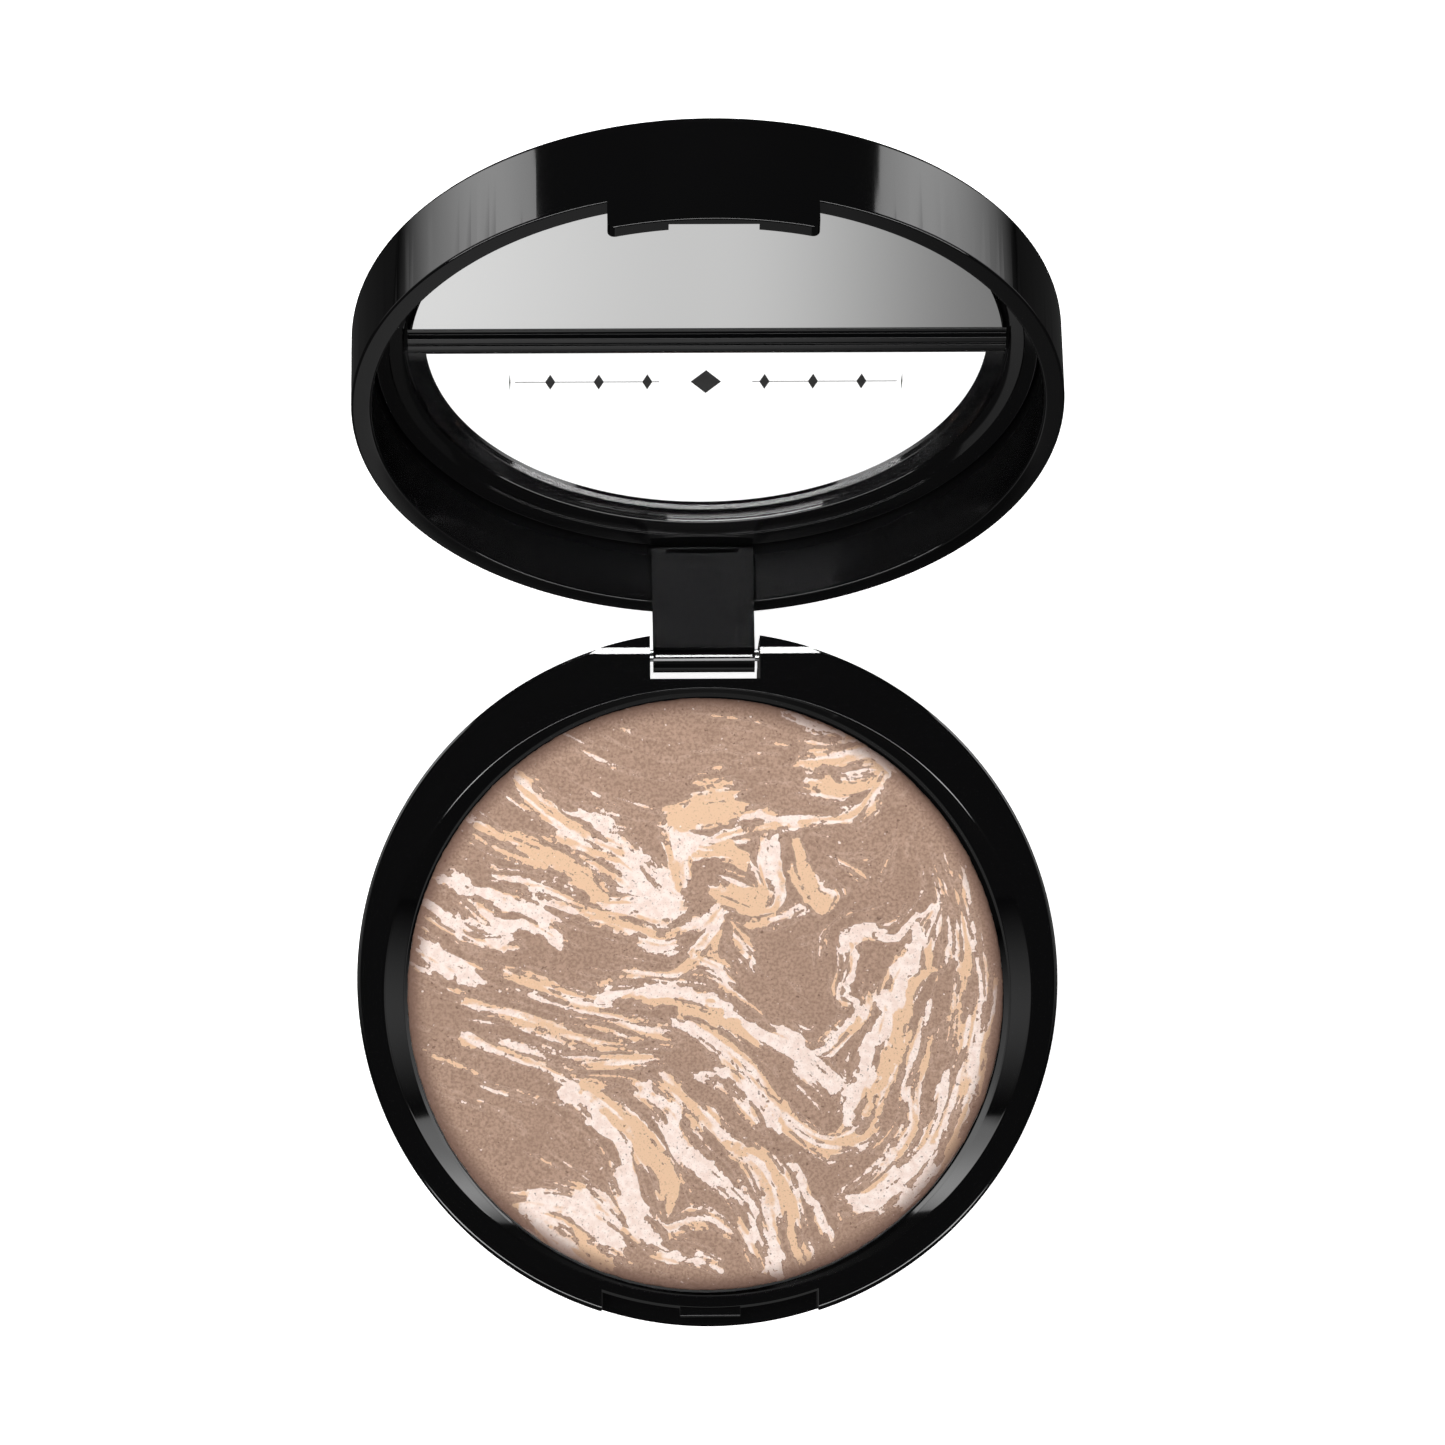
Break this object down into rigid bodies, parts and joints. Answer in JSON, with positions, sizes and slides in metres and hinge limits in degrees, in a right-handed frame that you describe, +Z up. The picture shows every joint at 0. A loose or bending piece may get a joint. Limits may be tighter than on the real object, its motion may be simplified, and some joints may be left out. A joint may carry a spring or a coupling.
{
  "type": "powder compact",
  "caption": "Round hinged powder compact standing open: black base with a marbled pressed powder, lid lined half with mirror, half with a clear window, on a rear pin hinge.",
  "frame": {"origin": "centre of the base's underside, on the surface it stands on", "axes": "+Z up, -Y to the front where the lid catches, +Y to the hinge, +X to the right"},
  "size_m": [0.07, 0.1113, 0.0684],
  "materials": {
    "black_shell": "polished injection-moulded black plastic",
    "pressed_powder": "pressed marbled face powder, fine matte grain",
    "pan_metal": "drawn sheet, satin",
    "pin_steel": "drawn wire",
    "mirror": "silvered glass, soft reflection",
    "clear_window": "clear moulded plastic sheet",
    "glue": "hot-melt and foam tape",
    "label_paper": "coated white label stock"
  },
  "bodies": {
    "base": {"base_bottom": "black_shell", "base_body": "black_shell", "base_label": "label_paper", "hinge_pin": "pin_steel", "pan_glue": "glue", "powder_pan": "pan_metal", "powder_cake": "pressed_powder"},
    "lid": {"lid_frame": "black_shell", "lid_inner_ring": "black_shell", "divider_bar": "black_shell", "lid_window": "clear_window", "lid_mirror": "mirror", "mirror_tape": "glue"}
  },
  "joints": [
    {"name": "lid_hinge", "type": "hinge", "parent": "base", "child": "lid", "pos_m": [0, 0.0333, 0.0083], "axis": [1, 0, 0], "range_deg": [0, 116]}
  ]
}
